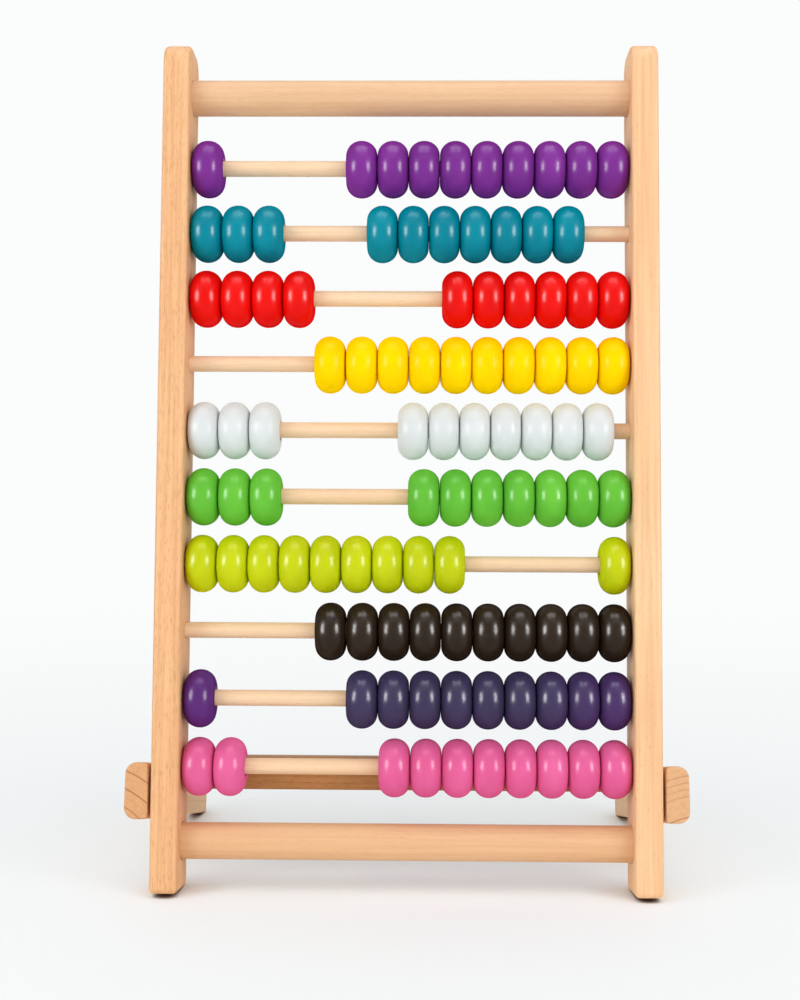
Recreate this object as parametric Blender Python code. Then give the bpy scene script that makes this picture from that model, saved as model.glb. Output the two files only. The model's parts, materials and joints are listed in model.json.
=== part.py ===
# Vertical abacus: a leaning beech frame with ten rods of sliding beads, on a bolted stand.
# Metres, +Z up, front towards -Y. The origin is at the bottom centre of the whole object.

import math

import bmesh
import bpy
from mathutils import Matrix

MM = 0.001

# Clearances between pieces that touch, and what is left over when cutting and merging
SEAT_GAP = 0.3 * MM
CUT_OVERSHOOT = 1.0 * MM
MERGE_DISTANCE = 0.001 * MM

# Beads
BEADS_PER_ROW = 10
BEAD_DIAMETER = 25.4 * MM
BEAD_FLAT_DIAMETER = 10.0 * MM
BEAD_GAP = 0.3 * MM
BEAD_BORE_CLEARANCE = 0.8 * MM
BEAD_HANG = 0.35 * MM
SINGLE_BEAD_LIMIT = 4

# Rods and rails
ROD_DIAMETER = 7.0 * MM
ROD_FREE_LENGTH = 54.7 * MM
ROW_CLEARANCE = 4.1 * MM
RAIL_DIAMETER = 16.0 * MM
RAIL_CLEARANCE = 11.6 * MM
RAIL_END_DISTANCE = 21.7 * MM

# Uprights
UPRIGHT_THICKNESS = 12.0 * MM
UPRIGHT_BEAD_COVER = 1.3 * MM
UPRIGHT_END_ROUND = 9.0 * MM
UPRIGHT_EDGE_ROUND = 1.3 * MM
UPRIGHT_SEAT_WALL = 4.0 * MM
FRAME_LEAN = math.radians(4.5)
FOOT_FLAT_DEPTH = 0.25 * MM

# Legs
LEG_THICKNESS = 10.0 * MM
LEG_HEIGHT = 24.0 * MM
LEG_FRONT_REACH = 13.0 * MM
LEG_REAR_REACH = 164.0 * MM
LEG_OUTER_ROUND = 6.0 * MM
LEG_INNER_ROUND = 1.5 * MM
LEG_END_ROUND = 1.2 * MM
LEG_FLAT_DEPTH = 0.4 * MM

# Leg bolts, washers and inserts
BOLT_SHANK_DIAMETER = 5.0 * MM
BOLT_HEAD_DIAMETER = 11.0 * MM
BOLT_HEAD_HEIGHT = 3.0 * MM
BOLT_HEAD_RECESS = 0.6 * MM
BOLT_SOCKET_WIDTH = 4.0 * MM
BOLT_SOCKET_DEPTH = 1.8 * MM
WASHER_DIAMETER = 13.0 * MM
WASHER_THICKNESS = 0.6 * MM
INSERT_SLEEVE = 0.9 * MM
INSERT_END_WALL = 3.0 * MM
INSERT_ROD_WALL = 3.2 * MM

# Crossbar
CROSSBAR_HEIGHT = 14.4 * MM
CROSSBAR_DEPTH = 12.0 * MM
CROSSBAR_EDGE_ROUND = 1.5 * MM
CROSSBAR_END_ROUND = 0.5 * MM
CROSSBAR_RISE = 1.85 * MM
TENON_DIAMETER = 6.5 * MM
TENON_EDGE = 2.0 * MM
TENON_WALL = 4.0 * MM

# Facets of the round pieces
BEAD_SEGMENTS = 12
BEAD_ARC_STEPS = 4
ROD_SEGMENTS = 12
RAIL_SEGMENTS = 18
HARDWARE_SEGMENTS = 12
SOCKET_SIDES = 6
CORNER_ARC_STEPS = 4
EDGE_ROUND_STEPS = 2
SMOOTH_ANGLE = math.radians(35)

# Wood and metal, as sRGB, with roughness and metallic
BEECH = ((238, 190, 145), 0.45, 0.0)
PALE_BEECH = ((246, 218, 180), 0.5, 0.0)
BROWN_BEECH = ((172, 117, 74), 0.5, 0.0)
STEEL = ((190, 190, 192), 0.35, 1.0)
BRASS = ((205, 172, 95), 0.35, 1.0)
PAINT_ROUGHNESS = 0.25

# Rows from the top, with their paint as sRGB
ROWS = (
    ("purple", (128, 50, 145)),
    ("teal", (0, 135, 155)),
    ("red", (240, 20, 10)),
    ("yellow", (255, 205, 0)),
    ("white", (220, 224, 224)),
    ("green", (95, 190, 60)),
    ("lime", (198, 208, 15)),
    ("black", (48, 36, 26)),
    ("navy", (70, 60, 90)),
    ("pink", (225, 95, 155)),
)
LEFT_PAINT = {"navy": (95, 45, 120)}

# Beads pushed to the left, and the free rod at a row's right end, where there is any
LEFT_BEAD_COUNT = {
    "purple": 1,
    "teal": 3,
    "red": 4,
    "white": 3,
    "green": 3,
    "lime": 9,
    "navy": 1,
    "pink": 2,
}
RIGHT_END_GAP = {"teal": 19.7 * MM, "white": 7.0 * MM}

# Pitch of the beads of each row, which are of one batch
BEAD_PITCH = {
    "purple": 14.0 * MM,
    "teal": 13.82 * MM,
    "red": 13.82 * MM,
    "yellow": 13.92 * MM,
    "white": 13.6 * MM,
    "green": 13.93 * MM,
    "lime": 13.62 * MM,
    "black": 13.78 * MM,
    "navy": 13.78 * MM,
    "pink": 13.7 * MM,
}

# Sizes that follow from the driving dimensions
BEAD_RADIUS = BEAD_DIAMETER / 2
BEAD_FLAT_RADIUS = BEAD_FLAT_DIAMETER / 2
ROD_RADIUS = ROD_DIAMETER / 2
RAIL_RADIUS = RAIL_DIAMETER / 2
BORE_RADIUS = ROD_RADIUS + BEAD_BORE_CLEARANCE
HALF_WIDTH = (BEADS_PER_ROW * max(BEAD_PITCH.values()) + BEAD_GAP + ROD_FREE_LENGTH) / 2
ROW_PITCH = BEAD_DIAMETER + ROW_CLEARANCE
RAIL_TO_ROW = RAIL_RADIUS + RAIL_CLEARANCE + BEAD_RADIUS
UPRIGHT_DEPTH = BEAD_DIAMETER + 2 * UPRIGHT_BEAD_COVER
UPRIGHT_END_FLAT = UPRIGHT_DEPTH - 2 * UPRIGHT_END_ROUND
LAST_ROW = RAIL_END_DISTANCE + RAIL_TO_ROW
FIRST_ROW = LAST_ROW + (len(ROWS) - 1) * ROW_PITCH
TOP_RAIL = FIRST_ROW + RAIL_TO_ROW
UPRIGHT_LENGTH = TOP_RAIL + RAIL_END_DISTANCE
SEAT_DEPTH = UPRIGHT_THICKNESS - UPRIGHT_SEAT_WALL
UPRIGHT_OUTER = HALF_WIDTH + UPRIGHT_THICKNESS
LEG_INNER = UPRIGHT_OUTER + WASHER_THICKNESS + 2 * SEAT_GAP
LEG_OUTER = LEG_INNER + LEG_THICKNESS
BOLT_RADIUS = BOLT_SHANK_DIAMETER / 2
INSERT_RADIUS = BOLT_RADIUS + SEAT_GAP + INSERT_SLEEVE
INSERT_DEPTH = UPRIGHT_THICKNESS - INSERT_END_WALL
TENON_RADIUS = TENON_DIAMETER / 2
TENON_SEAT_DEPTH = LEG_THICKNESS - TENON_WALL

# The uprights stand on their rear corners, cut flat, and the leg bolts sit just below the last rod's seats
FOOT_DROP = UPRIGHT_END_ROUND * (1 - math.cos(FRAME_LEAN)) + UPRIGHT_END_FLAT / 2 * math.sin(FRAME_LEAN)
FOOT_HEIGHT = FOOT_DROP - FOOT_FLAT_DEPTH
BOLT_ROW = LAST_ROW - (ROD_RADIUS + SEAT_GAP) - (INSERT_RADIUS + SEAT_GAP) - INSERT_ROD_WALL
BOLT_Y = BOLT_ROW * math.sin(FRAME_LEAN)
BOLT_Z = FOOT_HEIGHT + BOLT_ROW * math.cos(FRAME_LEAN)

# The legs fall until their rear lower corners meet the floor
CORNER_REACH = LEG_REAR_REACH - LEG_END_ROUND
CORNER_DROP = LEG_HEIGHT / 2 - LEG_END_ROUND
CORNER_DISTANCE = math.hypot(CORNER_REACH, CORNER_DROP)
CORNER_FALL = BOLT_Z - LEG_END_ROUND + LEG_FLAT_DEPTH
LEG_DECLINE = math.asin(CORNER_FALL / CORNER_DISTANCE) - math.atan2(CORNER_DROP, CORNER_REACH)

# The crossbar bears on the backs of the uprights, with its tenons in the upper half of the legs
LEG_TO_FRAME = LEG_DECLINE - FRAME_LEAN
CROSSBAR_Y = UPRIGHT_DEPTH / 2 + SEAT_GAP + CROSSBAR_DEPTH / 2
TENON_LEG_Z = LEG_HEIGHT / 2 - TENON_EDGE - TENON_RADIUS
TENON_LEG_Y = (CROSSBAR_Y - TENON_LEG_Z * math.sin(LEG_TO_FRAME)) / math.cos(LEG_TO_FRAME)
TENON_ROW = BOLT_ROW - TENON_LEG_Y * math.sin(LEG_TO_FRAME) + TENON_LEG_Z * math.cos(LEG_TO_FRAME)
CROSSBAR_ROW = TENON_ROW + CROSSBAR_RISE

for leftover in list(bpy.data.objects):
    bpy.data.objects.remove(leftover)


def linear(channel):
    value = channel / 255
    return value / 12.92 if value <= 0.04045 else ((value + 0.055) / 1.055) ** 2.4


def material(name, colour, roughness, metallic):
    found = bpy.data.materials.new(name)
    found.use_nodes = True
    shader = found.node_tree.nodes["Principled BSDF"]
    shader.inputs["Base Color"].default_value = (*(linear(c) for c in colour), 1.0)
    shader.inputs["Roughness"].default_value = roughness
    shader.inputs["Metallic"].default_value = metallic
    return found


def empty(name, parent=None):
    made = bpy.data.objects.new(name, None)
    bpy.context.collection.objects.link(made)
    made.parent = parent
    return made


def piece(name, shape, parent, finish=None, location=(0, 0, 0)):
    bmesh.ops.recalc_face_normals(shape, faces=shape.faces)
    mesh = bpy.data.meshes.new(name)
    shape.to_mesh(mesh)
    shape.free()
    mesh.shade_smooth()
    mesh.set_sharp_from_angle(angle=SMOOTH_ANGLE)
    made = bpy.data.objects.new(name, mesh)
    bpy.context.collection.objects.link(made)
    made.parent = parent
    made.location = location
    if finish:
        mesh.materials.append(finish)
    else:
        made.hide_render = True
        made.display_type = 'WIRE'
    return made


def cut(target, *cutters):
    for cutter in cutters:
        boolean = target.modifiers.new("cut_" + cutter.name, 'BOOLEAN')
        boolean.operation = 'DIFFERENCE'
        boolean.solver = 'EXACT'
        boolean.object = cutter


def join(target, *extras):
    for extra in extras:
        boolean = target.modifiers.new("join_" + extra.name, 'BOOLEAN')
        boolean.operation = 'UNION'
        boolean.solver = 'EXACT'
        boolean.object = extra


def add_cylinder(shape, start, end, y, z, radius, segments):
    place = Matrix.Translation(((start + end) / 2, y, z)) @ Matrix.Rotation(math.pi / 2, 4, 'Y')
    bmesh.ops.create_cone(
        shape,
        cap_ends=True,
        segments=segments,
        radius1=radius,
        radius2=radius,
        depth=abs(end - start),
        matrix=place,
    )


def cylinder(start, end, y, z, radius, segments):
    shape = bmesh.new()
    add_cylinder(shape, start, end, y, z, radius, segments)
    return shape


def turned(profile, segments, ring=False):
    # A profile of (x, radius) points, turned about the X axis. A ring's profile is a closed loop.
    shape = bmesh.new()
    points = [shape.verts.new((x, 0, radius)) for x, radius in profile]
    ends = points[1:] + points[:1] if ring else points[1:]
    edges = [shape.edges.new(pair) for pair in zip(points, ends)]
    bmesh.ops.spin(
        shape,
        geom=points + edges,
        axis=(1, 0, 0),
        cent=(0, 0, 0),
        angle=2 * math.pi,
        steps=segments,
        use_merge=True,
    )
    bmesh.ops.remove_doubles(shape, verts=shape.verts, dist=MERGE_DISTANCE)
    return shape


def arc(centre, radius, start, sweep, steps):
    turns = [start + sweep * step / steps for step in range(steps + 1)]
    return [(centre[0] + radius * math.cos(turn), centre[1] + radius * math.sin(turn)) for turn in turns]


def rounded_outline(low, high, bottom, top, low_radius, high_radius):
    # A rectangle across a board, with one corner radius on its low side and one on its high side.
    corners = (
        (high - high_radius, top - high_radius, high_radius),
        (low + low_radius, top - low_radius, low_radius),
        (low + low_radius, bottom + low_radius, low_radius),
        (high - high_radius, bottom + high_radius, high_radius),
    )
    outline = []
    for quarter, (across, up, radius) in enumerate(corners):
        outline += arc((across, up), radius, quarter * math.pi / 2, math.pi / 2, CORNER_ARC_STEPS)
    return outline


def board(outline, start, end, end_round):
    # An outline in Y and Z, extruded along X, with the edges of its two faces rounded.
    shape = bmesh.new()
    face = shape.faces.new([shape.verts.new((start, y, z)) for y, z in outline])
    grown = bmesh.ops.extrude_face_region(shape, geom=[face])
    moved = [part for part in grown["geom"] if isinstance(part, bmesh.types.BMVert)]
    bmesh.ops.translate(shape, verts=moved, vec=(end - start, 0, 0))
    rims = [e for e in shape.edges if abs(e.verts[0].co.x - e.verts[1].co.x) < MERGE_DISTANCE]
    bmesh.ops.bevel(
        shape,
        geom=rims,
        offset=end_round,
        offset_type='OFFSET',
        segments=EDGE_ROUND_STEPS,
        profile=0.5,
        affect='EDGES',
    )
    return shape


beech = material("beech", *BEECH)
pale_beech = material("pale_beech", *PALE_BEECH)
brown_beech = material("brown_beech", *BROWN_BEECH)
steel = material("steel", *STEEL)
brass = material("brass", *BRASS)

abacus = empty("abacus")
frame = empty("frame", abacus)
frame.location = (0, 0, FOOT_HEIGHT)
frame.rotation_euler = (-FRAME_LEAN, 0, 0)
stand = empty("stand", abacus)
stand.location = (0, BOLT_Y, BOLT_Z)
stand.rotation_euler = (-LEG_DECLINE, 0, 0)

# Everything below the floor is cut away from the feet
FLOOR_SPAN = 4 * LEG_REAR_REACH + 2 * LEG_OUTER
floor_shape = bmesh.new()
bmesh.ops.create_cube(floor_shape, size=FLOOR_SPAN)
bmesh.ops.translate(floor_shape, verts=floor_shape.verts, vec=(0, 0, -FLOOR_SPAN / 2))
floor_cutter = piece("floor_cutter", floor_shape, abacus)


def row_height(row):
    return FIRST_ROW - row * ROW_PITCH


def seat_cutter(name, side):
    shape = bmesh.new()
    mouth = side * (HALF_WIDTH - CUT_OVERSHOOT)
    bottom = side * (HALF_WIDTH + SEAT_DEPTH)
    for row in range(len(ROWS)):
        add_cylinder(shape, mouth, bottom, 0, row_height(row), ROD_RADIUS + SEAT_GAP, ROD_SEGMENTS)
    for height in (RAIL_END_DISTANCE, TOP_RAIL):
        add_cylinder(shape, mouth, bottom, 0, height, RAIL_RADIUS + SEAT_GAP, RAIL_SEGMENTS)
    mouth = side * (UPRIGHT_OUTER + CUT_OVERSHOOT)
    bottom = side * (UPRIGHT_OUTER - INSERT_DEPTH)
    add_cylinder(shape, mouth, bottom, 0, BOLT_ROW, INSERT_RADIUS + SEAT_GAP, HARDWARE_SEGMENTS)
    return piece(name, shape, frame)


def make_upright(name, side):
    half = UPRIGHT_DEPTH / 2
    outline = rounded_outline(-half, half, 0, UPRIGHT_LENGTH, UPRIGHT_END_ROUND, UPRIGHT_END_ROUND)
    shape = board(outline, side * HALF_WIDTH, side * UPRIGHT_OUTER, UPRIGHT_EDGE_ROUND)
    upright = piece(name, shape, frame, beech)
    cut(upright, seat_cutter(name + "_seats", side), floor_cutter)


def make_dowel(name, height, radius, segments, finish):
    reach = HALF_WIDTH + SEAT_DEPTH - SEAT_GAP
    piece(name, cylinder(-reach, reach, 0, 0, radius, segments), frame, finish, (0, 0, height))


def bead_run(count, pitch):
    # Beads that touch are one turned profile, with a crown for each bead and a bore through all.
    length = count * pitch - BEAD_GAP
    crown = length / (2 * count)
    profile = [(-length / 2, BORE_RADIUS), (-length / 2, BEAD_FLAT_RADIUS)]
    for bead in range(count):
        centre = -length / 2 + (2 * bead + 1) * crown
        for step in range(1, BEAD_ARC_STEPS + 1):
            turn = math.pi * step / BEAD_ARC_STEPS
            height = (BEAD_RADIUS - BEAD_FLAT_RADIUS) * math.sin(turn)
            profile.append((centre - crown * math.cos(turn), BEAD_FLAT_RADIUS + height))
    profile.append((length / 2, BORE_RADIUS))
    return turned(profile, BEAD_SEGMENTS, ring=True)


def make_run(name, count, pitch, left_end, row, finish):
    height = row_height(row) - BEAD_HANG
    if count > SINGLE_BEAD_LIMIT:
        centre = left_end + count * pitch / 2
        piece(name + "_beads", bead_run(count, pitch), frame, finish, (centre, 0, height))
        return
    for bead in range(count):
        centre = left_end + (bead + 0.5) * pitch
        piece(f"{name}_bead_{bead + 1}", bead_run(1, pitch), frame, finish, (centre, 0, height))


def make_row(row):
    name, paint = ROWS[row]
    left_count = LEFT_BEAD_COUNT.get(name, 0)
    end_gap = RIGHT_END_GAP.get(name, 0)
    pitch = BEAD_PITCH[name]
    finish = material(name + "_paint", paint, PAINT_ROUGHNESS, 0.0)
    left_finish = finish
    if name in LEFT_PAINT:
        left_finish = material(name + "_left_paint", LEFT_PAINT[name], PAINT_ROUGHNESS, 0.0)
    right_count = BEADS_PER_ROW - left_count
    # Runs start half a bead gap inside the uprights
    left_end = -HALF_WIDTH + BEAD_GAP / 2
    right_end = HALF_WIDTH - BEAD_GAP / 2 - end_gap
    make_dowel(f"{name}_rod", row_height(row), ROD_RADIUS, ROD_SEGMENTS, pale_beech)
    if left_count:
        make_run(name + "_left", left_count, pitch, left_end, row, left_finish)
        make_run(name + "_right", right_count, pitch, right_end - right_count * pitch, row, finish)
    else:
        # All beads stand at the right: the first to be counted is a bead of its own
        next_end = right_end - right_count * pitch
        make_run(name + "_next", 1, pitch, next_end, row, finish)
        make_run(name + "_right", right_count - 1, pitch, next_end + pitch, row, finish)


def leg_cutter(name, side):
    head_inner = LEG_OUTER - BOLT_HEAD_RECESS - BOLT_HEAD_HEIGHT
    hole = BOLT_RADIUS + SEAT_GAP
    counterbore = BOLT_HEAD_DIAMETER / 2 + SEAT_GAP
    profile = (
        (LEG_INNER - CUT_OVERSHOOT, 0),
        (LEG_INNER - CUT_OVERSHOOT, hole),
        (head_inner - SEAT_GAP, hole),
        (head_inner - SEAT_GAP, counterbore),
        (LEG_OUTER + CUT_OVERSHOOT, counterbore),
        (LEG_OUTER + CUT_OVERSHOOT, 0),
    )
    shape = turned([(side * x, radius) for x, radius in profile], HARDWARE_SEGMENTS)
    mouth = side * (LEG_INNER - CUT_OVERSHOOT)
    bottom = side * (LEG_INNER + TENON_SEAT_DEPTH)
    seat_radius = TENON_RADIUS + SEAT_GAP
    add_cylinder(shape, mouth, bottom, TENON_LEG_Y, TENON_LEG_Z, seat_radius, HARDWARE_SEGMENTS)
    return piece(name, shape, stand)


def make_leg(name, side):
    # The section is drawn across the leg and extruded along X, then turned to run front to back.
    faces = ((-side * LEG_INNER, LEG_INNER_ROUND), (-side * LEG_OUTER, LEG_OUTER_ROUND))
    (low, low_radius), (high, high_radius) = sorted(faces)
    section = rounded_outline(low, high, -LEG_HEIGHT / 2, LEG_HEIGHT / 2, low_radius, high_radius)
    shape = board(section, -LEG_FRONT_REACH, LEG_REAR_REACH, LEG_END_ROUND)
    bmesh.ops.rotate(shape, verts=shape.verts, matrix=Matrix.Rotation(math.pi / 2, 3, 'Z'))
    leg = piece(name, shape, stand, beech)
    cut(leg, leg_cutter(name + "_holes", side), floor_cutter)


def make_bolt(name, side):
    head_outer = LEG_OUTER - BOLT_HEAD_RECESS
    head_inner = head_outer - BOLT_HEAD_HEIGHT
    tip = UPRIGHT_OUTER - INSERT_DEPTH + 2 * SEAT_GAP
    profile = (
        (tip, 0),
        (tip, BOLT_RADIUS),
        (head_inner, BOLT_RADIUS),
        (head_inner, BOLT_HEAD_DIAMETER / 2),
        (head_outer, BOLT_HEAD_DIAMETER / 2),
        (head_outer, 0),
    )
    bolt = piece(name, turned([(side * x, r) for x, r in profile], HARDWARE_SEGMENTS), stand, steel)
    mouth = side * (head_outer + CUT_OVERSHOOT)
    bottom = side * (head_outer - BOLT_SOCKET_DEPTH)
    socket = cylinder(mouth, bottom, 0, 0, BOLT_SOCKET_WIDTH / 2, SOCKET_SIDES)
    cut(bolt, piece(name + "_socket", socket, stand))


def make_sleeve(name, side, start, end, bore, outer, parent, height, finish):
    profile = [(start, bore), (start, outer), (end, outer), (end, bore)]
    shape = turned([(side * x, radius) for x, radius in profile], HARDWARE_SEGMENTS, ring=True)
    piece(name, shape, parent, finish, (0, 0, height))


def make_crossbar():
    outline = rounded_outline(
        CROSSBAR_Y - CROSSBAR_DEPTH / 2,
        CROSSBAR_Y + CROSSBAR_DEPTH / 2,
        CROSSBAR_ROW - CROSSBAR_HEIGHT / 2,
        CROSSBAR_ROW + CROSSBAR_HEIGHT / 2,
        CROSSBAR_EDGE_ROUND,
        CROSSBAR_EDGE_ROUND,
    )
    reach = LEG_INNER - SEAT_GAP
    bar = piece("crossbar", board(outline, -reach, reach, CROSSBAR_END_ROUND), frame, brown_beech)
    reach = LEG_INNER + TENON_SEAT_DEPTH - SEAT_GAP
    tenon = cylinder(-reach, reach, TENON_LEG_Y, TENON_LEG_Z, TENON_RADIUS, HARDWARE_SEGMENTS)
    join(bar, piece("crossbar_tenons", tenon, stand))


def make_hardware(name, side):
    make_bolt(name + "_leg_bolt", side)
    bore = BOLT_RADIUS + SEAT_GAP
    start = UPRIGHT_OUTER + SEAT_GAP
    end = start + WASHER_THICKNESS
    make_sleeve(name + "_leg_washer", side, start, end, bore, WASHER_DIAMETER / 2, stand, 0, steel)
    start = UPRIGHT_OUTER - INSERT_DEPTH + SEAT_GAP
    end = UPRIGHT_OUTER
    make_sleeve(name + "_leg_insert", side, start, end, bore, INSERT_RADIUS, frame, BOLT_ROW, brass)


for side_name, side_sign in (("left", -1), ("right", 1)):
    make_upright(side_name + "_upright", side_sign)
    make_leg(side_name + "_leg", side_sign)
    make_hardware(side_name, side_sign)

make_dowel("top_rail", TOP_RAIL, RAIL_RADIUS, RAIL_SEGMENTS, beech)
make_dowel("bottom_rail", RAIL_END_DISTANCE, RAIL_RADIUS, RAIL_SEGMENTS, beech)
make_crossbar()
for row_index in range(len(ROWS)):
    make_row(row_index)

# The origin goes to the middle of the footprint, measured on the finished pieces
bpy.context.view_layer.update()
solids = [o for o in bpy.data.objects if o.type == 'MESH' and not o.hide_render]
depsgraph = bpy.context.evaluated_depsgraph_get()
depths = []
for solid in solids:
    corners = solid.evaluated_get(depsgraph).data.vertices
    depths += [(solid.matrix_world @ corner.co).y for corner in corners]
abacus.location = (0, -(min(depths) + max(depths)) / 2, 0)
bpy.context.view_layer.update()
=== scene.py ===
# Vertical abacus: painted beads on rods in a leaning beech frame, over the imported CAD.
import json
import math
import random

import bmesh
import bpy
from mathutils import Matrix, Vector


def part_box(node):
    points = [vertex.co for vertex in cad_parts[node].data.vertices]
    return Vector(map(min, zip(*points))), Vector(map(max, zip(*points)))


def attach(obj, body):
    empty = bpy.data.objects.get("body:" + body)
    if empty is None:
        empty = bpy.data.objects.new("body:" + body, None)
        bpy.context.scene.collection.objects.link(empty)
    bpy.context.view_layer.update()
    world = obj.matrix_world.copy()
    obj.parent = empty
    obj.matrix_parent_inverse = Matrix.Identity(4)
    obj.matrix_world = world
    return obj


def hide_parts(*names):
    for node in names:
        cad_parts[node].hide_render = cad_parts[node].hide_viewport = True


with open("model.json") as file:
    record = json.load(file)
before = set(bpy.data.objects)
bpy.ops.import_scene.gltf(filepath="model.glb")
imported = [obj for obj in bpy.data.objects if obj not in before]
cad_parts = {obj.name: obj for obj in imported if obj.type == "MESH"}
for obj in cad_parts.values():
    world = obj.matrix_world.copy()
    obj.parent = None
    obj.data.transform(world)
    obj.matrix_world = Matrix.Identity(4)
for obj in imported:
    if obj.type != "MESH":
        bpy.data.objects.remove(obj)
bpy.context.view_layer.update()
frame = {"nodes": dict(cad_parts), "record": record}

mm = 0.001
merged = 0.002 * mm  # points closer than this are one
level = 0.01 * mm  # an edge flatter than this lies across its axis
nodes = frame["nodes"]
bodyOf = {}
for bodyName, members in frame["record"]["behaviour"]["bodies"].items():
    for member in members:
        bodyOf[member] = bodyName


# Places read from the CAD

def extent(points):
    low = Vector([min(point[i] for point in points) for i in range(3)])
    high = Vector([max(point[i] for point in points) for i in range(3)])
    return low, high


def middle(node):
    low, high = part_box(node)
    return (low + high) / 2


def slope(node):
    # turn about X, within 20 degrees, at which a straight bar's box is flattest
    points = [vertex.co for vertex in nodes[node].data.vertices]
    perDegree, most = 20, 20

    def flatness(step):
        turn = Matrix.Rotation(math.radians(step / perDegree), 3, 'X')
        heights = [(turn @ point).z for point in points]
        return max(heights) - min(heights)

    return math.radians(min(range(-most * perDegree, most * perDegree + 1), key=flatness) / perDegree)


railLow = middle("bottom_rail")
railHigh = middle("top_rail")
lean = math.atan2(railHigh.y - railLow.y, railHigh.z - railLow.z)
standUp = Matrix.Translation(railLow) @ Matrix.Rotation(-lean, 4, 'X')  # upright frame to where it leans
legTurn = slope("left_leg")
legDown = Matrix.Rotation(-legTurn, 4, 'X')


def boxIn(node, placing, keep=None):
    # a node's box before the placing turned it
    back = placing.inverted()
    points = [vertex.co for vertex in nodes[node].data.vertices]
    if keep:
        points = [point for point in points if keep(point)]
    return extent([back @ point for point in points])


# Mesh helpers

def turnedRing(profile, segments):
    # closed profile of (along X, radius), spun about X
    shape = bmesh.new()
    corners = [shape.verts.new((along, 0, radius)) for along, radius in profile]
    sides = [shape.edges.new((a, b)) for a, b in zip(corners, corners[1:] + corners[:1])]
    bmesh.ops.spin(shape, geom=corners + sides, cent=(0, 0, 0), axis=(1, 0, 0), dvec=(0, 0, 0),
                   angle=2 * math.pi, steps=segments, use_merge=True)
    return tidied(shape)


def tidied(shape):
    bmesh.ops.remove_doubles(shape, verts=shape.verts, dist=merged)
    bmesh.ops.recalc_face_normals(shape, faces=shape.faces)
    return shape


def rimEdges(shape, axis):
    # edges that lie across an axis
    return [edge for edge in shape.edges if abs(edge.verts[0].co[axis] - edge.verts[1].co[axis]) < level]


def roundBar(start, end, y, z, radius, segments, chamfer=0.0, chamferSteps=3):
    # cylinder along X with eased ends
    shape = bmesh.new()
    bmesh.ops.create_cone(shape, cap_ends=True, segments=segments, radius1=radius, radius2=radius,
                          depth=abs(end - start))
    if chamfer:
        bmesh.ops.bevel(shape, geom=rimEdges(shape, 2), offset=chamfer, segments=chamferSteps, profile=0.5,
                        affect='EDGES', material=-1)
    bmesh.ops.rotate(shape, verts=shape.verts, matrix=Matrix.Rotation(math.pi / 2, 3, 'Y'))
    bmesh.ops.translate(shape, verts=shape.verts, vec=((start + end) / 2, y, z))
    return shape


def slab(low, high, axis, rounds, steps, endRound, lift=0.0, endSteps=4):
    # bar along one axis: the section's corners are rounded, then both end rims
    # the section's first corner can be lifted
    u, v = [i for i in range(3) if i != axis]
    shape = bmesh.new()
    corners = []
    for pick in ((0, 0), (1, 0), (1, 1), (0, 1)):
        place = Vector((0, 0, 0))
        place[axis] = low[axis]
        place[u] = (low, high)[pick[0]][u]
        place[v] = (low, high)[pick[1]][v]
        corners.append(shape.verts.new(place))
    corners[0].co[v] += lift
    shape.faces.new(corners)
    for corner, size in zip(corners, rounds):
        bmesh.ops.bevel(shape, geom=[corner], offset=size, offset_type='OFFSET', segments=steps,
                        profile=0.5, affect='VERTICES', material=-1)
    bmesh.ops.remove_doubles(shape, verts=shape.verts, dist=merged)
    made = bmesh.ops.extrude_face_region(shape, geom=list(shape.faces), use_keep_orig=True)
    far = [item for item in made["geom"] if isinstance(item, bmesh.types.BMVert)]
    step = Vector((0, 0, 0))
    step[axis] = high[axis] - low[axis]
    bmesh.ops.translate(shape, verts=far, vec=step)
    bmesh.ops.recalc_face_normals(shape, faces=shape.faces)
    bmesh.ops.bevel(shape, geom=rimEdges(shape, axis), offset=endRound, segments=endSteps, profile=0.5,
                    affect='EDGES', clamp_overlap=True, material=-1)
    return tidied(shape)


def planed(shape):
    # planes off what lies below the floor
    cut = bmesh.ops.bisect_plane(shape, geom=shape.verts[:] + shape.edges[:] + shape.faces[:],
                                 plane_co=(0, 0, 0), plane_no=(0, 0, -1), clear_outer=True)
    ring = [item for item in cut["geom_cut"] if isinstance(item, bmesh.types.BMEdge)]
    if ring:
        bmesh.ops.contextual_create(shape, geom=ring)


def holder(name, shape):
    mesh = bpy.data.meshes.new(name)
    shape.to_mesh(mesh)
    shape.free()
    item = bpy.data.objects.new(name, mesh)
    bpy.context.scene.collection.objects.link(item)
    return item


def combined(shape, others, how):
    # joins or cuts closed shapes, one after another
    item = holder("work", shape)
    helpers = []
    for other in others:
        tool = holder("tool", other)
        modifier = item.modifiers.new("cut", 'BOOLEAN')
        modifier.operation = how
        modifier.solver = 'EXACT'
        modifier.object = tool
        helpers.append(tool)
    result = bmesh.new()
    result.from_object(item, bpy.context.evaluated_depsgraph_get())
    for helper in helpers + [item]:
        bpy.data.meshes.remove(helper.data)
    return tidied(result)


def addPiece(name, shape, body, material, replaced, sharp):
    piece = holder(name, shape)
    mesh = piece.data
    for polygon in mesh.polygons:
        polygon.use_smooth = True
    mesh.set_sharp_from_angle(angle=math.radians(sharp))
    weighted = piece.modifiers.new("even shading", 'WEIGHTED_NORMAL')
    weighted.keep_sharp = True
    mesh.materials.append(material)
    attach(piece, body)
    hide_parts(*replaced)


# Shader maths

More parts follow.
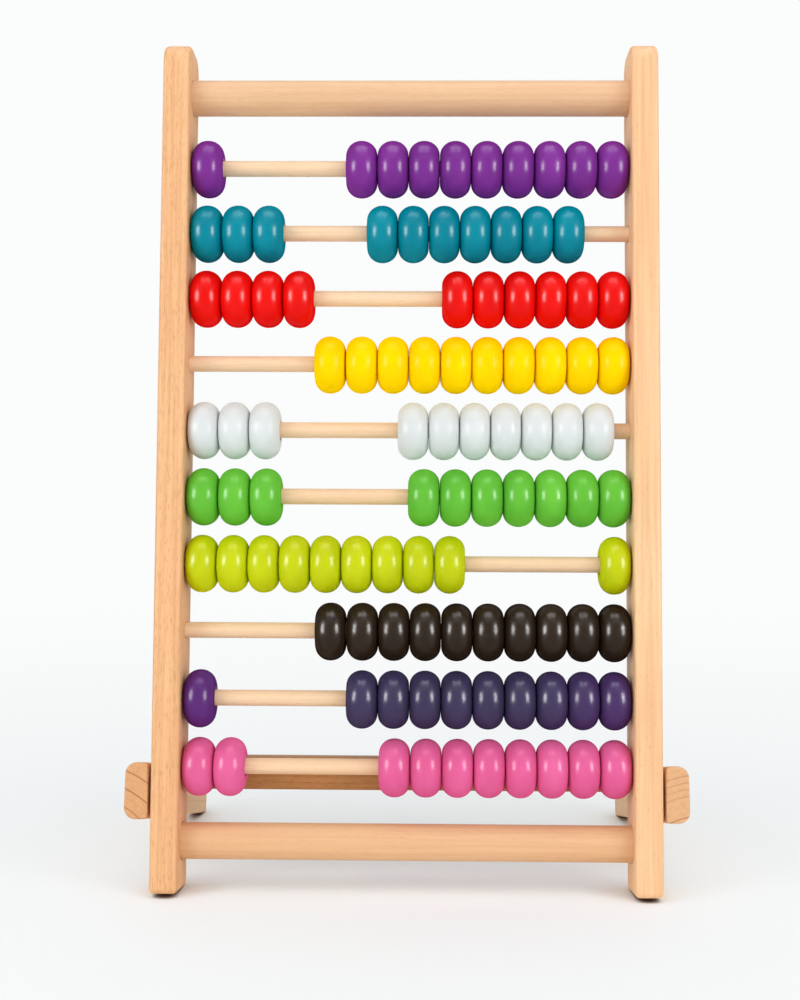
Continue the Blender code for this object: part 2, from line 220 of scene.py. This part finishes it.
class Wire:
    def __init__(self, tree, socket):
        self.tree = tree
        self.socket = socket

    def add(self, kind, settings, inputs, output=0):
        # any node: settings first, then values or links on its sockets
        node = self.tree.nodes.new(kind)
        for key, value in settings.items():
            setattr(node, key, value)
        for key, value in inputs.items():
            if isinstance(value, Wire):
                self.tree.links.new(value.socket, node.inputs[key])
            else:
                node.inputs[key].default_value = value
        return Wire(self.tree, node.outputs[output])

    def sum(self, how, a, b):
        return self.add('ShaderNodeMath', {"operation": how}, {0: a, 1: b})

    def __add__(self, other):
        return self.sum('ADD', self, other)

    __radd__ = __add__

    def __sub__(self, other):
        return self.sum('SUBTRACT', self, other)

    def __rsub__(self, other):
        return self.sum('SUBTRACT', other, self)

    def __mul__(self, other):
        return self.sum('MULTIPLY', self, other)

    __rmul__ = __mul__


def fade(value, start, end):
    # smooth step from 0 at start to 1 at end
    return value.add('ShaderNodeMapRange', {"interpolation_type": 'SMOOTHSTEP'},
                     {"Value": value, "From Min": start, "From Max": end})


def blendColour(share, first, second, how='MIX'):
    return share.add('ShaderNodeMix', {"data_type": 'RGBA', "blend_type": how},
                     {0: share, 6: first, 7: second}, 2)


def noise(place, scale, detail=2.0, rough=0.5):
    # noise in 0..1 with a scale of its own along each axis, per metre
    spread = place.add('ShaderNodeVectorMath', {"operation": 'MULTIPLY'}, {0: place, 1: scale})
    return place.add('ShaderNodeTexNoise', {},
                     {"Vector": spread, "Scale": 1.0, "Detail": detail, "Roughness": rough})


def bump(height, strength, distance):
    return height.add('ShaderNodeBump', {}, {"Height": height, "Strength": strength, "Distance": distance})


def tint(red, green, blue):
    # sRGB 0..255 to linear
    linear = []
    for part in (red, green, blue):
        part = part / 255
        linear.append(part / 12.92 if part <= 0.04045 else ((part + 0.055) / 1.055) ** 2.4)
    return (*linear, 1.0)


def startMaterial(name):
    material = bpy.data.materials.new(name)
    material.use_nodes = True
    tree = material.node_tree
    place = Wire(tree, tree.nodes.new('ShaderNodeTexCoord').outputs["Object"])
    return material, tree.nodes["Principled BSDF"], place


def feed(shader, values):
    for key, value in values.items():
        if isinstance(value, Wire):
            value.tree.links.new(value.socket, shader.inputs[key])
        else:
            shader.inputs[key].default_value = value


# Wood: growth rings about an unseen heart, fibre streaks, short pore strokes

figure = {  # noise per metre across and along the fibres
    "sway": (28, 28, 5), "streak": (620, 620, 14), "fibre": (2600, 2600, 60), "pore": (1900, 1900, 270),
    "cloud": (16, 16, 6), "poreEdge": 0.07, "sawnFrom": 1.2 * mm, "sawnTo": 0.4 * mm,
    "relief": 0.12 * mm, "specular": 0.15,
}


def sawnEnds(grain, settings):
    # 1 on the ends of a board, 0 along its sides
    along = grain.add('ShaderNodeSeparateXYZ', {}, {"Vector": grain}, 2)
    start, stop = [end + settings["heart"][2] for end in settings["ends"]]
    far, near = figure["sawnFrom"], figure["sawnTo"]
    return fade(along, stop - far, stop - near) + 1 - fade(along, start + near, start + far)


def makeWood(name, settings):
    material, shader, place = startMaterial(name)
    grain = place.add('ShaderNodeMapping', {}, {"Vector": place, "Rotation": settings["turn"],
                                                "Location": settings["heart"]})  # fibres along Z
    sawn = sawnEnds(grain, settings) if "ends" in settings else 0.0
    sway = noise(grain, figure["sway"], 3.0)
    flat = grain.add('ShaderNodeVectorMath', {"operation": 'MULTIPLY'}, {0: grain, 1: (1, 1, 0)})
    radius = flat.add('ShaderNodeVectorMath', {"operation": 'LENGTH'}, {0: flat}, 1)
    ring = radius * (1 / settings["ringPitch"]) + sway * settings["ringSway"]
    ring = ring.add('ShaderNodeMath', {"operation": 'FRACT'}, {0: ring})
    late = fade(ring, settings["ringFrom"], 0.9) * (1 - fade(ring, 0.93, 1.0))
    year = radius.add('ShaderNodeTexNoise', {"noise_dimensions": '1D'},
                      {"W": radius, "Scale": 1 / settings["ringPitch"]})
    late = late * fade(year, 0.35, 0.65)  # some years darker than others
    streak = fade(noise(grain, figure["streak"], 3.0, 0.6), 0.36, 0.68)
    fibre = noise(grain, figure["fibre"], 2.0, 0.6)
    pore = fade(noise(grain, figure["pore"], 1.5, 0.5),
                settings["poreFrom"], settings["poreFrom"] + figure["poreEdge"])
    cloud = fade(noise(grain, figure["cloud"], 2.0), 0.3, 0.7)

    colour = blendColour(cloud, settings["pale"], settings["warm"])
    colour = blendColour(streak * settings["streakShare"], colour, settings["dark"])
    colour = blendColour(late * (sawn * settings["sawnShare"] + settings["ringShare"]), colour,
                         settings["ring"])
    colour = blendColour(pore * settings["poreShare"], colour, settings["pore"])
    colour = blendColour((fibre - 0.5) * 0.16 + 0.08, colour, settings["dark"])
    if "ends" in settings:
        colour = blendColour(sawn, colour, settings["sawnTint"], 'MULTIPLY')
    depth = fibre * 0.35 - pore * 0.5 - late * 0.15
    feed(shader, {"Base Color": colour, "Roughness": settings["roughness"] + fibre * 0.14 + pore * 0.1,
                  "Normal": bump(depth, 0.35, figure["relief"]), "Specular IOR Level": figure["specular"]})
    return material


beech = {
    "turn": (lean, 0, 0), "heart": (0.03, 0.05, 0),
    "ringPitch": 3.1 * mm, "ringSway": 1.1, "ringFrom": 0.35,
    "pale": tint(237, 190, 139), "warm": tint(231, 173, 123), "dark": tint(208, 148, 98),
    "ring": tint(208, 148, 98), "pore": tint(184, 118, 68), "streakShare": 0.55, "ringShare": 0.28,
    "poreFrom": 0.58, "poreShare": 0.32, "sawnShare": 0.0, "roughness": 0.46,
}
rightBeech = {
    **beech, "heart": (-0.072, 0.075, 0.11), "pale": tint(245, 206, 158), "warm": tint(239, 190, 143),
    "streakShare": 0.4, "poreFrom": 0.65,
}
legBeech = {
    **beech, "turn": (math.pi / 2 + legTurn, 0, 0), "ringSway": 0.35, "ringFrom": 0.7,
    "ring": tint(176, 114, 68), "pale": tint(244, 204, 160), "warm": tint(239, 193, 147),
    "streakShare": 0.2, "poreShare": 0.18, "sawnShare": 0.6,
    "ends": [corner.y for corner in boxIn("left_leg", legDown)],
}
leftLegBeech = {
    **legBeech, "heart": (0.141, -0.013, 0.05), "ringPitch": 3.4 * mm, "sawnTint": (0.76, 0.61, 0.475, 1.0),
}
rightLegBeech = {
    **legBeech, "heart": (-0.130, -0.024, 0.21), "ringPitch": 2.8 * mm, "sawnTint": (0.79, 0.68, 0.59, 1.0),
}
dowelBeech = {
    **beech, "turn": (0, math.pi / 2, 0), "ringPitch": 4.2 * mm, "ringShare": 0.2, "streakShare": 0.4,
    "poreShare": 0.12, "pale": tint(230, 190, 150), "warm": tint(224, 181, 140),
    "dark": tint(208, 160, 118), "ring": tint(208, 158, 114),
}
bottomRailBeech = {
    **dowelBeech, "heart": (0.05, 0.08, 0.3), "pale": tint(230, 184, 139), "warm": tint(224, 174, 128),
}
rodBeech = {
    **dowelBeech, "heart": (0.02, 0.05, 0.07), "pale": tint(238, 207, 172), "warm": tint(235, 198, 159),
    "dark": tint(221, 180, 138), "ring": tint(221, 180, 138), "pore": tint(200, 152, 108),
    "streakShare": 0.3,
}
crossbarBeech = {
    **dowelBeech, "heart": (0.0, 0.07, 0.13), "pale": tint(199, 143, 88), "warm": tint(187, 131, 76),
    "dark": tint(150, 98, 51), "ring": tint(150, 98, 51), "pore": tint(112, 68, 36), "poreShare": 0.3,
}
leftWood = makeWood("leftUprightBeech", {**beech, "heart": (0.128, 0.060, 0.31)})
rightWood = makeWood("rightUprightBeech", rightBeech)
leftLegWood = makeWood("leftLegBeech", leftLegBeech)
rightLegWood = makeWood("rightLegBeech", rightLegBeech)
topRailWood = makeWood("topRailBeech", {**dowelBeech, "heart": (0.36, 0.06, 0)})
bottomRailWood = makeWood("bottomRailBeech", bottomRailBeech)
rodWood = makeWood("rodBeech", rodBeech)
crossbarWood = makeWood("crossbarBeech", crossbarBeech)
print("wood done")


# Metal

def makeMetal(name, settings):
    material, shader, place = startMaterial(name)
    grain = noise(place, (400, 5200, 5200), 2.0)
    stain = fade(noise(place, (240, 240, 240), 3.0), 0.4, 0.75)
    feed(shader, {"Base Color": blendColour(stain * 0.5, settings["colour"], settings["stain"]),
                  "Metallic": 1.0, "Roughness": settings["roughness"] + grain * 0.12 + stain * 0.1,
                  "Normal": bump(grain, 0.2, 0.05 * mm)})
    return material


zinc = {"colour": tint(196, 197, 200), "stain": tint(160, 160, 158), "roughness": 0.26}
paleBrass = {"colour": tint(208, 176, 98), "stain": tint(158, 122, 62), "roughness": 0.28}
steel = makeMetal("zincSteel", zinc)
brass = makeMetal("insertBrass", paleBrass)
for nodeName in ("left_leg_insert", "right_leg_insert"):
    insert = nodes[nodeName]
    insert.data.materials.clear()
    insert.data.materials.append(brass)
print("metal done")


# Uprights: boards with rounded ends, blind seats for rails and rods, a hole for the insert

upright = {
    "topRound": 9.0 * mm, "toeRound": 2.5 * mm, "heelRound": 4.0 * mm, "edgeRound": 1.9 * mm,
    "toeLift": 1.0 * mm,  # the toe stands off the floor
    "seatGap": 0.3 * mm, "seatSegments": 40, "cornerSteps": 10, "sharp": 32,
    "inside": 80 * mm, "outside": 130 * mm,  # from the middle to where the cuts start, clear of both faces
}
rodNames = sorted(name for name in nodes if name.endswith("_rod"))


def makeUpright(side, sign, material):
    node = side + "_upright"
    low, high = boxIn(node, standUp)
    spacing = (railHigh - railLow).length
    low.z = spacing - high.z  # both ends pass the rails by the same length; the foot is planed later
    rounds = [upright[corner] for corner in ("toeRound", "heelRound", "topRound", "topRound")]
    shape = slab(low, high, 0, rounds, upright["cornerSteps"], upright["edgeRound"], upright["toeLift"])
    inside, outside = sign * upright["inside"], sign * upright["outside"]
    seats = []
    for name in rodNames + ["top_rail", "bottom_rail"]:
        first, last = boxIn(name, standUp)
        centre = (first + last) / 2
        radius = (last.z - first.z) / 2 + upright["seatGap"]
        end = sign * (last.x + upright["seatGap"])
        seats.append(roundBar(end, inside, centre.y, centre.z, radius, upright["seatSegments"]))
    first, last = boxIn(side + "_leg_insert", standUp)
    centre = (first + last) / 2
    inner = min(first.x, last.x, key=abs) - sign * upright["seatGap"]
    radius = (last.z - first.z) / 2 + upright["seatGap"]
    seats.append(roundBar(inner, outside, centre.y, centre.z, radius, upright["seatSegments"]))
    shape = combined(shape, seats, 'DIFFERENCE')
    shape.transform(standUp)
    planed(shape)
    addPiece(side + "Upright", shape, bodyOf[node], material, [node], upright["sharp"])


makeUpright("left", -1, leftWood)
makeUpright("right", 1, rightWood)
print("uprights done")


# Rails and rods: dowels with eased ends

rail = {"segments": 64, "ease": 0.8 * mm, "sharp": 40}
rod = {"segments": 40, "ease": 0.4 * mm, "sharp": 40}


def makeDowel(node, name, material, settings):
    low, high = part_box(node)
    first, last = boxIn(node, standUp)
    centre = (low + high) / 2
    shape = roundBar(low.x, high.x, centre.y, centre.z, (last.z - first.z) / 2, settings["segments"],
                     settings["ease"])
    addPiece(name, shape, bodyOf[node], material, [node], settings["sharp"])


makeDowel("top_rail", "topRail", topRailWood, rail)
makeDowel("bottom_rail", "bottomRail", bottomRailWood, rail)
for rodName in rodNames:
    makeDowel(rodName, rodName.replace("_rod", "Rod"), rodWood, rod)
print("rails and rods done")


# Stand: legs with rounded outer corners, a crossbar tenoned between them, bolts and washers

leg = {
    "outerRound": 5.0 * mm, "innerRound": 1.5 * mm, "endRound": 0.9 * mm, "gap": 0.3 * mm,
    "outside": 130 * mm,  # from the middle to where the bolt's cut starts, clear of the leg
    "cornerSteps": 8, "holeSegments": 32, "counterboreSegments": 40, "sharp": 32,
}
bar = {
    "edgeRound": 1.5 * mm, "endRound": 0.5 * mm, "tenonEase": 0.4 * mm, "cornerSteps": 5,
    "tenonSegments": 40, "sharp": 32,
}
bolt = {
    "shank": 2.5 * mm, "shankEase": 0.4 * mm, "headHeight": 3.0 * mm, "rimRound": 0.8 * mm,
    "socketWidth": 4.0 * mm, "socketDepth": 2.4 * mm, "socketSides": 6,
    "headSegments": 48, "shankSegments": 32, "sharp": 32,
}
washer = {
    "ease": 0.5, "corner": 0.3,  # shares of half the thickness, and of the ease
    "segments": 48, "sharp": 40,
}

legInner = min(abs(corner.x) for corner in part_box("left_leg"))
tips = extent([vertex.co for vertex in nodes["crossbar"].data.vertices if abs(vertex.co.x) > legInner + mm])
tipCentre = (tips[0] + tips[1]) / 2
tipRadius = (tips[1].z - tips[0].z) / 2


def makeLeg(side, sign, material):
    node = side + "_leg"
    low, high = boxIn(node, legDown)
    big, small = leg["outerRound"], leg["innerRound"]
    rounds = [big, small, small, big] if sign < 0 else [small, big, big, small]
    shape = slab(low, high, 1, rounds, leg["cornerSteps"], leg["endRound"])
    shape.transform(legDown)
    first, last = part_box(side + "_leg_bolt")
    centre = (first + last) / 2
    outer = max(abs(first.x), abs(last.x))
    headInner = outer - bolt["headHeight"] - leg["gap"]
    headRadius = (last.z - first.z) / 2 + leg["gap"]
    mouth = sign * (legInner - mm)
    cuts = [
        roundBar(mouth, sign * (headInner + mm), centre.y, centre.z, bolt["shank"] + leg["gap"],
                 leg["holeSegments"]),
        roundBar(sign * headInner, sign * leg["outside"], centre.y, centre.z, headRadius,
                 leg["counterboreSegments"]),
        roundBar(mouth, sign * (tips[1].x + leg["gap"]), tipCentre.y, tipCentre.z, tipRadius + leg["gap"],
                 leg["holeSegments"]),
    ]
    shape = combined(shape, cuts, 'DIFFERENCE')
    planed(shape)
    addPiece(side + "Leg", shape, bodyOf[node], material, [node], leg["sharp"])


def makeCrossbar():
    low, high = boxIn("crossbar", standUp, lambda point: abs(point.x) < legInner)
    shape = slab(low, high, 0, [bar["edgeRound"]] * 4, bar["cornerSteps"], bar["endRound"])
    shape.transform(standUp)
    tenon = roundBar(tips[0].x, tips[1].x, tipCentre.y, tipCentre.z, tipRadius, bar["tenonSegments"],
                     bar["tenonEase"])
    addPiece("standBar", combined(shape, [tenon], 'UNION'), bodyOf["crossbar"], crossbarWood,
             ["crossbar"], bar["sharp"])


def makeBolt(side, sign):
    node = side + "_leg_bolt"
    low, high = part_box(node)
    centre = (low + high) / 2
    outer, inner = max(abs(low.x), abs(high.x)), min(abs(low.x), abs(high.x))
    face = sign * outer
    headInner = sign * (outer - bolt["headHeight"])
    head = roundBar(headInner, face, centre.y, centre.z, (high.z - low.z) / 2, bolt["headSegments"],
                    bolt["rimRound"])
    shank = roundBar(sign * inner, headInner + sign * mm, centre.y, centre.z, bolt["shank"],
                     bolt["shankSegments"], bolt["shankEase"])
    socket = roundBar(face - sign * bolt["socketDepth"], face + sign * mm, centre.y, centre.z,
                      bolt["socketWidth"] / math.sqrt(3), bolt["socketSides"])
    shape = combined(combined(head, [shank], 'UNION'), [socket], 'DIFFERENCE')
    addPiece(side + "LegBolt", shape, bodyOf[node], steel, [node], bolt["sharp"])


def makeWasher(side):
    node = side + "_leg_washer"
    low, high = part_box(node)
    outer = (high.z - low.z) / 2
    bore = bolt["shank"] + leg["gap"]
    half = (high.x - low.x) / 2
    ease = half * washer["ease"]
    corner = ease * washer["corner"]
    profile = [(-half, bore), (half, bore), (half, outer - ease), (half - corner, outer - corner),
               (0, outer), (-half + corner, outer - corner), (-half, outer - ease)]
    shape = turnedRing(profile, washer["segments"])
    bmesh.ops.translate(shape, verts=shape.verts, vec=(low + high) / 2)
    addPiece(side + "LegWasher", shape, bodyOf[node], steel, [node], washer["sharp"])


makeLeg("left", -1, leftLegWood)
makeLeg("right", 1, rightLegWood)
makeCrossbar()
for sideName, sideSign in (("left", -1), ("right", 1)):
    makeBolt(sideName, sideSign)
    makeWasher(sideName)
print("stand done")


# Beads: turned rings of gloss paint, each a piece of its own

paints = {
    "purple": {"main": tint(128, 48, 146), "deep": tint(98, 34, 120)},
    "teal": {"main": tint(0, 138, 156), "deep": tint(0, 108, 128)},
    "red": {"main": tint(236, 14, 8), "deep": tint(205, 6, 6)},
    "yellow": {"main": tint(255, 215, 0), "deep": tint(250, 197, 0), "gloss": 0.05},
    "white": {"main": tint(217, 221, 220), "deep": tint(206, 210, 210), "gloss": 0.14},
    "green": {"main": tint(106, 190, 58), "deep": tint(78, 164, 46)},
    "lime": {"main": tint(198, 208, 14), "deep": tint(172, 182, 6)},
    "black": {"main": tint(45, 32, 22), "deep": tint(32, 22, 14), "gloss": 0.3, "grit": 1.4},
    "navy": {"main": tint(62, 54, 86), "deep": tint(52, 44, 72), "rightEnd": tint(72, 46, 98),
             "gloss": 0.28, "grit": 0.8},
    "navyLeft": {"main": tint(95, 45, 120), "deep": tint(72, 32, 96)},
    "pink": {"main": tint(226, 100, 154), "deep": tint(208, 78, 130)},
}
paintFilm = {
    "gloss": 0.2, "grit": 0.4, "roughness": 0.21, "coatRoughness": 0.25, "peelStrength": 0.13,
    "peelDepth": 0.3 * mm, "wearFrom": 4.7 * mm, "wearTo": 5.0 * mm, "bareWood": tint(214, 170, 124),
    "rightFrom": 50 * mm, "rightTo": 100 * mm,  # where the end colour of a row comes in
    "mottle": (75, 40, 40), "speck": (900, 900, 900), "lathe": (1900, 12, 12), "peel": (560, 560, 560),
}


def makePaint(name, settings, axis):
    film = {**paintFilm, **settings}
    material, shader, place = startMaterial(name + "Paint")
    own = place.add('ShaderNodeMapping', {}, {"Vector": place, "Location": (0, -axis.y, -axis.z)})
    around = own.add('ShaderNodeVectorMath', {"operation": 'MULTIPLY'}, {0: own, 1: (0, 1, 1)})
    radius = around.add('ShaderNodeVectorMath', {"operation": 'LENGTH'}, {0: around}, 1)
    mottle = fade(noise(own, film["mottle"], 2.0), 0.2, 0.8)
    colour = blendColour(mottle * 0.55, settings["main"], settings["deep"])
    if "rightEnd" in settings:
        across = own.add('ShaderNodeSeparateXYZ', {}, {"Vector": own})
        colour = blendColour(fade(across, film["rightFrom"], film["rightTo"]), colour, settings["rightEnd"])
    wear = 1 - fade(radius + noise(own, film["speck"], 2.0) * 0.5 * mm, film["wearFrom"], film["wearTo"])
    colour = blendColour(wear * 0.5, colour, film["bareWood"])  # bare wood at the rim of the bore
    lathe = noise(own, film["lathe"], 1.0)
    peel = noise(own, film["peel"], 2.0)
    facing = place.add('ShaderNodeLayerWeight', {}, {"Blend": 0.5}, 1)
    coat = (1 - fade(facing, 0.42, 0.75)) * (1 - wear * 0.8)  # no glare along the outline
    coat = coat * (peel * film["grit"] + (1 - film["grit"] / 2)) * film["gloss"]
    feed(shader, {"Base Color": colour, "Roughness": film["roughness"] + mottle * 0.03 + wear * 0.3,
                  "Specular IOR Level": 0.0, "Coat Weight": coat, "Coat Roughness": film["coatRoughness"],
                  "Normal": bump(peel + lathe * 0.12, film["peelStrength"], film["peelDepth"])})
    return material


bead = {
    "pitch": 13.8 * mm, "gap": 0.3 * mm, "seam": 0.1 * mm, "flat": 6.2 * mm, "fullness": 2.05,
    "bore": 4.3 * mm, "ease": 0.35 * mm, "corner": 0.3, "segments": 44, "crownSteps": 18,
    "tilt": 0.45, "nod": 0.6,  # degrees about Z, and the share of it about Y
    "sharp": 50, "seed": 7,
}


def beadShape(half, radius):
    # bore, eased rim, then half an oval from face to face
    ease, bore = bead["ease"], bead["bore"]
    corner = ease * bead["corner"]
    profile = [(half - ease, bore), (-half + ease, bore),
               (-half + corner, bore + corner), (-half, bore + ease)]
    for step in range(bead["crownSteps"] + 1):
        turn = math.pi * step / bead["crownSteps"]
        across = math.copysign(abs(math.cos(turn)) ** (2 / bead["fullness"]), math.cos(turn))
        rise = math.sin(turn) ** (2 / bead["fullness"]) if 0 < step < bead["crownSteps"] else 0.0
        profile.append((-half * across, bead["flat"] + (radius - bead["flat"]) * rise))
    profile += [(half, bore + ease), (half - corner, bore + corner)]
    return turnedRing(profile, bead["segments"])


chance = random.Random(bead["seed"])
paintOf = {}
for rowName in [name for name in paints if name != "navyLeft"]:
    paintOf[rowName] = makePaint(rowName, paints[rowName], middle(rowName + "_rod"))
paintOf["navyLeft"] = makePaint("navyLeft", paints["navyLeft"], middle("navy_rod"))


def beadCount(node):
    low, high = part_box(node)
    return round((high.x - low.x + bead["gap"]) / bead["pitch"])


def makeRun(body):
    # beads fill their run from end to end, so two runs keep the CAD's gap when they meet
    members = sorted((node for node in nodes if bodyOf[node] == body), key=lambda node: middle(node).x)
    owners = [node for node in members for _ in range(beadCount(node))]
    low, high = extent([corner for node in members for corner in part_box(node)])
    first, last = boxIn(members[0], standUp)
    centre = (low + high) / 2
    pitch = (high.x - low.x + bead["seam"]) / len(owners)
    half = (pitch - bead["seam"]) / 2
    row, side = body.split("_")
    paint, slotName = paintOf[row], row + "_paint"
    if body == "navy_left":
        paint, slotName = paintOf["navyLeft"], "navy_left_paint"
    for number, node in enumerate(owners):
        shape = beadShape(half, (last.z - first.z) / 2)
        turn = Matrix.Rotation(math.radians(chance.uniform(-1, 1) * bead["tilt"]), 4, 'Z')
        nod = math.radians(chance.uniform(-1, 1) * bead["tilt"] * bead["nod"])
        turn = turn @ Matrix.Rotation(nod, 4, 'Y')
        shape.transform(Matrix.Translation((low.x + half + number * pitch, centre.y, centre.z)) @ turn)
        name = f"{row}{side.capitalize()}Bead{number + 1}"
        addPiece(name, shape, body, paint, [node], bead["sharp"])


for bodyName in sorted(set(bodyOf.values())):
    if bodyName != "frame":
        makeRun(bodyName)
print("beads done")


# Floor, light and camera

stage = {
    "size": 12.0, "lift": 0.14, "reach": 0.38, "floor": tint(247, 252, 254),
    "roughness": 0.6, "specular": 0.2,
    # painted contact shade: dark brown put into the floor's colour where other parts crowd it, and how far
    # that reaches
    "gap": tint(84, 44, 24), "paintedShadeReach": 20 * mm,  # painted contact shade: the dark brown the floor turns under the feet and beside every contact
    "aim": (0, -0.06, 0.19),  # where every lamp points
}
lamps = {
    "leftBox": {"at": (-0.88, -0.80, 0.55), "size": (0.5, 1.0), "power": 4.1},
    "rightBox": {"at": (0.88, -0.80, 0.55), "size": (0.5, 1.0), "power": 4.1},
    "frontBox": {"at": (0.0, -0.80, 1.30), "size": (1.1, 0.7), "power": 3.1},
    "leftGleam": {"at": (-1.02, -0.80, 0.42), "size": (0.5, 0.62), "power": 40.0, "gleam": True},
    "rightGleam": {"at": (0.92, -0.84, 0.42), "size": (0.42, 0.62), "power": 36.0, "gleam": True},
    "topGleam": {"at": (0.0, -0.20, 1.45), "size": (1.0, 0.7), "power": 20.0, "gleam": True},
}
world = {"ambient": (0.62, 0.625, 0.635, 1.0), "seen": (0.965, 0.975, 0.975, 1.0)}
view = {
    "at": (0.008307, -0.721595, 0.174177), "lens": 53.71,
    "yaw": -0.01807, "pitch": -0.00590, "roll": 0.00456,
}


def seenShare(tree):
    # 1 where the eye, a reflection or clear material looks at the background
    rays = tree.nodes.new('ShaderNodeLightPath').outputs
    kinds = ("Camera", "Glossy", "Transmission")
    camera, glossy, through = [Wire(tree, rays[f"Is {kind} Ray"]) for kind in kinds]
    return camera.sum('MAXIMUM', camera.sum('MAXIMUM', camera, glossy), through)


def makeFloor():
    shape = bmesh.new()
    bmesh.ops.create_grid(shape, x_segments=2, y_segments=2, size=stage["size"] / 2)
    floor = holder("floor", shape)
    material, shader, place = startMaterial("floor")
    flat = place.add('ShaderNodeVectorMath', {"operation": 'MULTIPLY'}, {0: place, 1: (1, 1, 0)})
    away = flat.add('ShaderNodeVectorMath', {"operation": 'LENGTH'}, {0: flat}, 1)
    clear = place.add('ShaderNodeAmbientOcclusion', {"samples": 8}, {"Distance": stage["paintedShadeReach"]}, 1)
    # painted contact shade: the floor's own colour turns dark brown where the occlusion is close, under the
    # feet and beside every contact
    groundWithPaintedShade = blendColour(fade(clear, 0.1, 0.45), stage["gap"], stage["floor"])
    feed(shader, {"Base Color": groundWithPaintedShade, "Roughness": stage["roughness"],
                  "Specular IOR Level": stage["specular"]})
    glow = place.add('ShaderNodeEmission', {}, {"Color": world["seen"], "Strength": 1.0})
    body = Wire(place.tree, shader.outputs["BSDF"])
    near = away.add('ShaderNodeMath', {"operation": 'POWER'}, {0: math.e, 1: away * (-1 / stage["reach"])})
    share = 1 - near * (1 - stage["lift"])  # whiter the farther from the object
    seen = seenShare(place.tree)
    # painted shade as well: the backdrop glow fades out where the occlusion is close, so the floor darkens
    # near every contact
    share = share * fade(clear, 0.4, 0.95)
    mixed = place.add('ShaderNodeMixShader', {}, {0: share * seen, 1: body, 2: glow})
    place.tree.links.new(mixed.socket, place.tree.nodes["Material Output"].inputs["Surface"])
    floor.data.materials.append(material)


def makeWorld():
    sky = bpy.data.worlds.new("studio")
    bpy.context.scene.world = sky
    sky.use_nodes = True
    tree = sky.node_tree
    back = tree.nodes["Background"]
    feed(back, {"Color": blendColour(seenShare(tree), world["ambient"], world["seen"]), "Strength": 1.0})


def makeLamp(name, settings):
    light = bpy.data.lights.new(name, 'AREA')
    light.shape = 'RECTANGLE'
    light.size, light.size_y = settings["size"]
    light.energy = settings["power"]
    lamp = bpy.data.objects.new(name, light)
    bpy.context.scene.collection.objects.link(lamp)
    lamp.location = settings["at"]
    aim = Vector(stage["aim"]) - lamp.location
    lamp.rotation_euler = aim.to_track_quat('-Z', 'Y').to_euler()
    lamp.visible_camera = False
    if "gleam" in settings:  # for the highlights alone
        lamp.visible_diffuse = False


def makeCamera():
    data = bpy.data.cameras.new("camera")
    data.lens = view["lens"]
    camera = bpy.data.objects.new("camera", data)
    bpy.context.scene.collection.objects.link(camera)
    camera.matrix_world = (Matrix.Translation(view["at"]) @ Matrix.Rotation(-view["yaw"], 4, 'Z')
                           @ Matrix.Rotation(math.pi / 2 + view["pitch"], 4, 'X')
                           @ Matrix.Rotation(view["roll"], 4, 'Z'))
    bpy.context.scene.camera = camera


makeFloor()
makeWorld()
for lampName, lampSettings in lamps.items():
    makeLamp(lampName, lampSettings)
makeCamera()
bpy.context.scene.view_settings.view_transform = 'Standard'
print("stage done")
